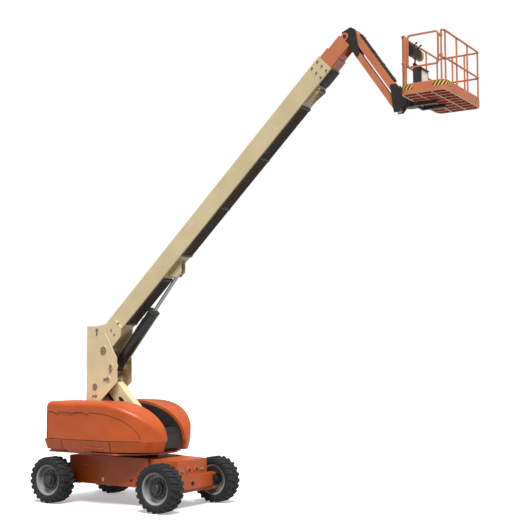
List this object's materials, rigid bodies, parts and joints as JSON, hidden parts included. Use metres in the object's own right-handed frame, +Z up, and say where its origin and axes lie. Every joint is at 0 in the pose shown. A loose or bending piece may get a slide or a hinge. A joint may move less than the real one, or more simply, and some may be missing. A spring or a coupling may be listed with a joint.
{
  "type": "self-propelled boom lift",
  "caption": "Self-propelled telescopic boom lift: wheeled chassis, slewing turntable with hoods, raised tower and upright, telescoping boom, jib and guarded platform.",
  "frame": {"origin": "on the ground under the slew axis, midway between the axles", "axes": "+X forward along the boom, +Y to the machine's left, +Z up"},
  "size_m": [10.0294, 2.48, 9.9594],
  "materials": {
    "tyre": "matt rubber",
    "rim": "satin paint",
    "hub": "satin black paint",
    "orange": "gloss paint",
    "dark": "satin paint",
    "cream": "gloss paint",
    "boom_orange": "gloss paint",
    "barrel": "gloss black paint",
    "chrome": "polished hard chrome",
    "platform": "gloss paint",
    "console": "moulded plastic",
    "counterweight": "gloss paint over casting"
  },
  "bodies": {
    "chassis": {"chassis_frame": "orange", "front_axle": "orange", "rear_axle": "orange", "slew_ring": "dark"},
    "knuckle_right": {"knuckle_right": "dark"},
    "knuckle_left": {"knuckle_left": "dark"},
    "wheel_front_right": {"tyre_front_right": "tyre", "rim_front_right": "rim", "hub_front_right": "hub"},
    "wheel_front_left": {"tyre_front_left": "tyre", "rim_front_left": "rim", "hub_front_left": "hub"},
    "wheel_rear_right": {"tyre_rear_right": "tyre", "rim_rear_right": "rim", "hub_rear_right": "hub"},
    "wheel_rear_left": {"tyre_rear_left": "tyre", "rim_rear_left": "rim", "hub_rear_left": "hub"},
    "turntable": {"turntable_base": "orange", "counterweight_right": "counterweight", "counterweight_left": "counterweight", "skirt_right": "orange", "skirt_left": "orange", "hood_right": "orange", "hood_left": "orange", "engine_block": "dark", "tank_block": "dark", "slot_cover": "dark"},
    "door_right": {"door_right": "orange"},
    "door_left": {"door_left": "orange"},
    "tower": {"tower_boom": "cream"},
    "tower_link": {"tower_link": "dark"},
    "upright": {"upright": "cream"},
    "lift_barrel": {"lift_barrel": "barrel"},
    "lift_rod": {"lift_rod": "chrome"},
    "boom_base": {"boom_base": "cream", "wear_collar_base": "console"},
    "boom_mid": {"boom_mid": "boom_orange", "wear_collar_mid": "console"},
    "boom_fly": {"boom_fly": "boom_orange"},
    "jib_base": {"jib_base": "dark"},
    "jib_arm": {"jib_arm": "boom_orange"},
    "jib_link": {"jib_link": "boom_orange"},
    "platform_support": {"platform_support": "dark"},
    "platform": {"platform_mount": "dark", "platform_floor": "platform", "platform_rails": "platform", "control_console": "console"},
    "gate": {"gate": "platform"}
  },
  "joints": [
    {"name": "steer_right", "type": "hinge", "parent": "chassis", "child": "knuckle_right", "pos_m": [1.525, -0.83, 0.515], "axis": [0, 0, 1], "range_deg": [-30, 30]},
    {"name": "steer_left", "type": "hinge", "parent": "chassis", "child": "knuckle_left", "pos_m": [1.525, 0.83, 0.515], "axis": [0, 0, 1], "range_deg": [-30, 30]},
    {"name": "wheel_front_right_spin", "type": "hinge", "parent": "knuckle_right", "child": "wheel_front_right", "pos_m": [1.525, -1.04, 0.515], "axis": [0, 1, 0], "continuous": true},
    {"name": "wheel_front_left_spin", "type": "hinge", "parent": "knuckle_left", "child": "wheel_front_left", "pos_m": [1.525, 1.04, 0.515], "axis": [0, 1, 0], "continuous": true},
    {"name": "wheel_rear_right_spin", "type": "hinge", "parent": "chassis", "child": "wheel_rear_right", "pos_m": [-1.525, -1.04, 0.515], "axis": [0, 1, 0], "continuous": true},
    {"name": "wheel_rear_left_spin", "type": "hinge", "parent": "chassis", "child": "wheel_rear_left", "pos_m": [-1.525, 1.04, 0.515], "axis": [0, 1, 0], "continuous": true},
    {"name": "slew", "type": "hinge", "parent": "chassis", "child": "turntable", "pos_m": [0, 0, 1.13], "axis": [0, 0, 1], "continuous": true},
    {"name": "door_right_swing", "type": "hinge", "parent": "turntable", "child": "door_right", "pos_m": [0, -1.162, 2.03], "axis": [-1, 0, 0], "range_deg": [0, 80]},
    {"name": "door_left_swing", "type": "hinge", "parent": "turntable", "child": "door_left", "pos_m": [0, 1.162, 2.03], "axis": [1, 0, 0], "range_deg": [0, 80]},
    {"name": "tower_lift", "type": "hinge", "parent": "turntable", "child": "tower", "pos_m": [0.64651, 0, 1.51449], "axis": [0, 1, 0], "range_deg": [-37, 0]},
    {"name": "tower_link_swing", "type": "hinge", "parent": "turntable", "child": "tower_link", "pos_m": [0.26451, 0, 1.34349], "axis": [0, 1, 0], "range_deg": [-37, 0]},
    {"name": "upright_level", "type": "hinge", "parent": "tower", "child": "upright", "pos_m": [-0.598, 0, 2.759], "axis": [0, 1, 0], "range_deg": [0, 37]},
    {"name": "boom_lift", "type": "hinge", "parent": "upright", "child": "boom_base", "pos_m": [-0.74, 0, 3.42], "axis": [0, -1, 0], "range_deg": [-43.7, 31.3]},
    {"name": "lift_barrel_swing", "type": "hinge", "parent": "upright", "child": "lift_barrel", "pos_m": [-0.52, 0, 3.045], "axis": [0, -1, 0], "range_deg": [-45, 33]},
    {"name": "lift_rod_slide", "type": "slide", "parent": "lift_barrel", "child": "lift_rod", "axis": [0.6411, 0, 0.7674], "range_m": [-0.36, 0.26]},
    {"name": "boom_extend", "type": "slide", "parent": "boom_base", "child": "boom_mid", "axis": [0.723, 0, 0.6909], "range_m": [0, 5.9]},
    {"name": "fly_extend", "type": "slide", "parent": "boom_mid", "child": "boom_fly", "axis": [0.723, 0, 0.6909], "range_m": [0, 5.9]},
    {"name": "jib_level", "type": "hinge", "parent": "boom_fly", "child": "jib_base", "pos_m": [5.5, 0, 9.78], "axis": [0, -1, 0], "range_deg": [-31.3, 43.7]},
    {"name": "jib_lift", "type": "hinge", "parent": "jib_base", "child": "jib_arm", "pos_m": [5.662, 0, 9.846], "axis": [0, -1, 0], "range_deg": [0, 130]},
    {"name": "jib_link_swing", "type": "hinge", "parent": "jib_base", "child": "jib_link", "pos_m": [5.74, 0, 9.403], "axis": [0, -1, 0], "range_deg": [0, 130]},
    {"name": "platform_level", "type": "hinge", "parent": "jib_arm", "child": "platform_support", "pos_m": [6.54661, 0, 8.57322], "axis": [0, -1, 0], "range_deg": [-130, 0]},
    {"name": "platform_turn", "type": "hinge", "parent": "platform_support", "child": "platform", "pos_m": [6.88, 0, 8.3], "axis": [0, 0, 1], "range_deg": [-90, 90]},
    {"name": "gate_swing", "type": "hinge", "parent": "platform", "child": "gate", "pos_m": [7.91, -0.888, 8.8], "axis": [0, 0, -1], "range_deg": [0, 90]}
  ],
  "couplings": [
    {"joint": "steer_left", "follows": "steer_right", "ratio": 1},
    {"joint": "tower_link_swing", "follows": "tower_lift", "ratio": 1},
    {"joint": "upright_level", "follows": "tower_lift", "ratio": -1},
    {"joint": "lift_barrel_swing", "follows": "boom_lift", "ratio": 0.962},
    {"joint": "lift_rod_slide", "follows": "boom_lift", "m_per_rad": 0.43},
    {"joint": "fly_extend", "follows": "boom_extend", "ratio": 1},
    {"joint": "jib_level", "follows": "boom_lift", "ratio": -1},
    {"joint": "jib_link_swing", "follows": "jib_lift", "ratio": 1},
    {"joint": "platform_level", "follows": "jib_lift", "ratio": -1}
  ]
}
